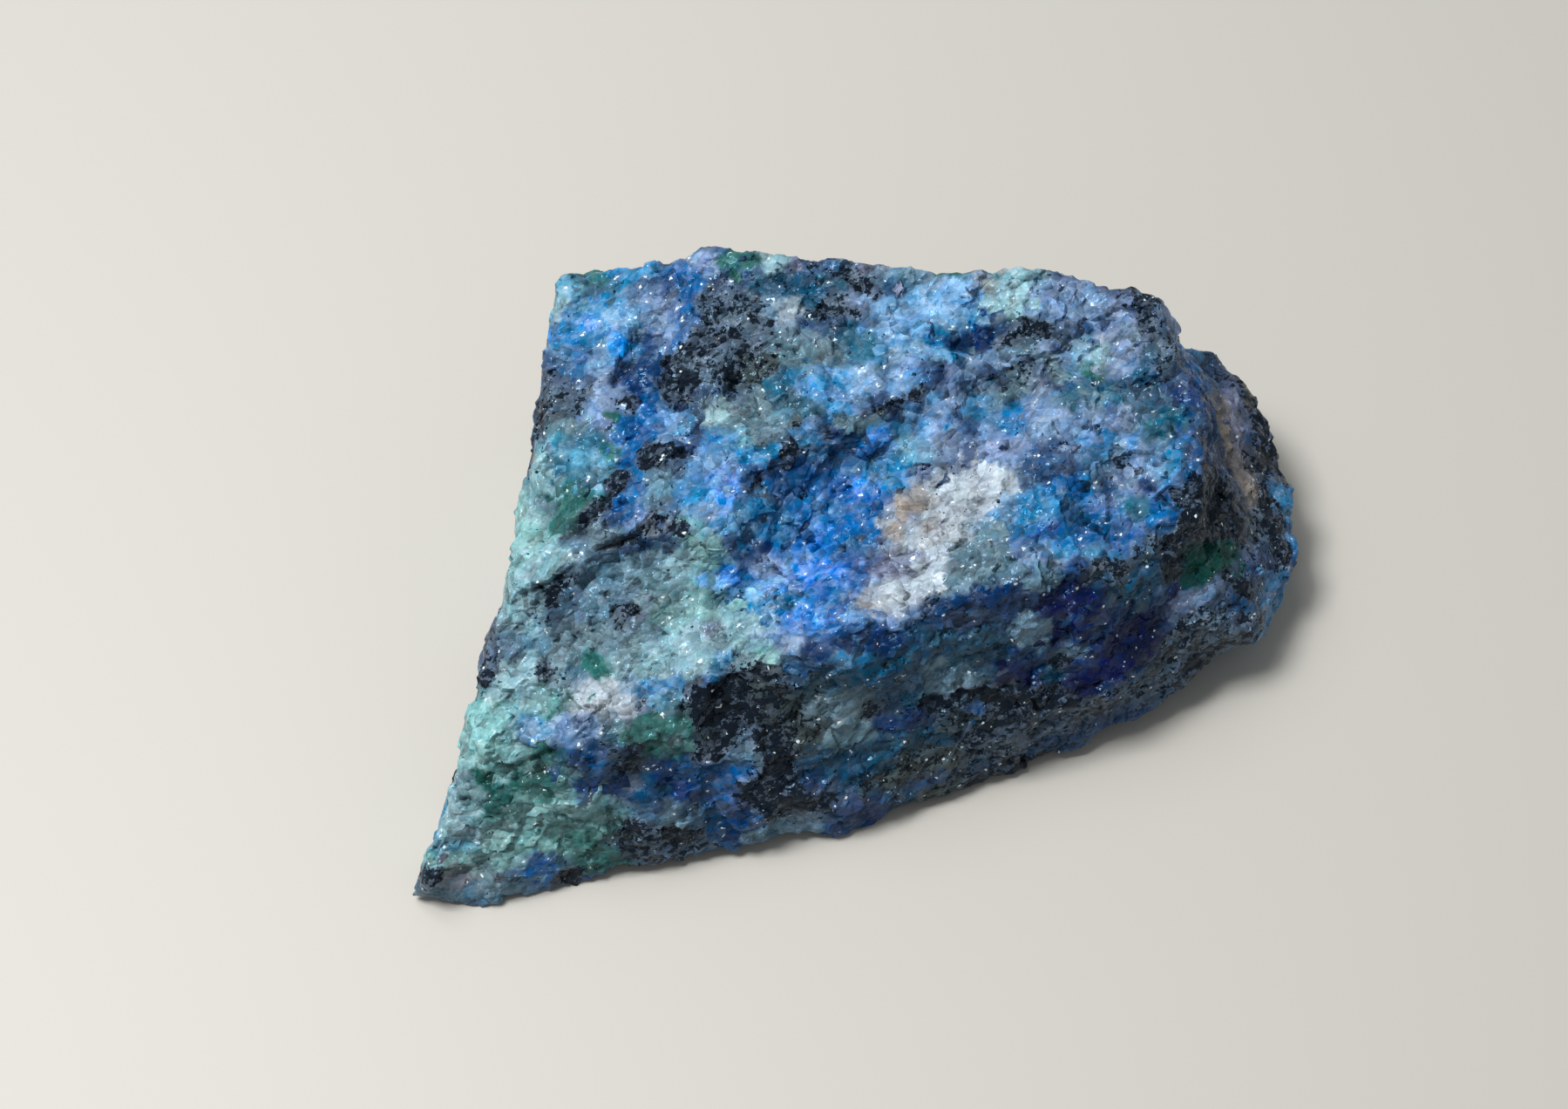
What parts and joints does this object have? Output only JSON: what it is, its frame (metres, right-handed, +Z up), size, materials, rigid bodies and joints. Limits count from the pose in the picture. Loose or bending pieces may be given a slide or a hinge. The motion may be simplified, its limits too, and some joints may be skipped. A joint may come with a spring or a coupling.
{
  "type": "raw azurite stone",
  "caption": "Rough hand specimen of blue and green copper carbonate in granular quartz, a wedge broken on all sides that lies on its flattest face.",
  "frame": {"origin": "centre of the bounding box's base, on the surface that the stone rests on", "axes": "+X along the longest side, from the pointed toe towards the blunt end; +Y towards the straight back edge; +Z up, through the stone's thickness"},
  "size_m": [0.082, 0.0572, 0.0272],
  "materials": {
    "blue_rock": "broken granular rock: royal blue, mint green, quartz white and black grains of about a millimetre, glassy facets, uncut and unpolished"
  },
  "bodies": {
    "root": {"azurite_stone": "blue_rock"}
  },
  "joints": []
}
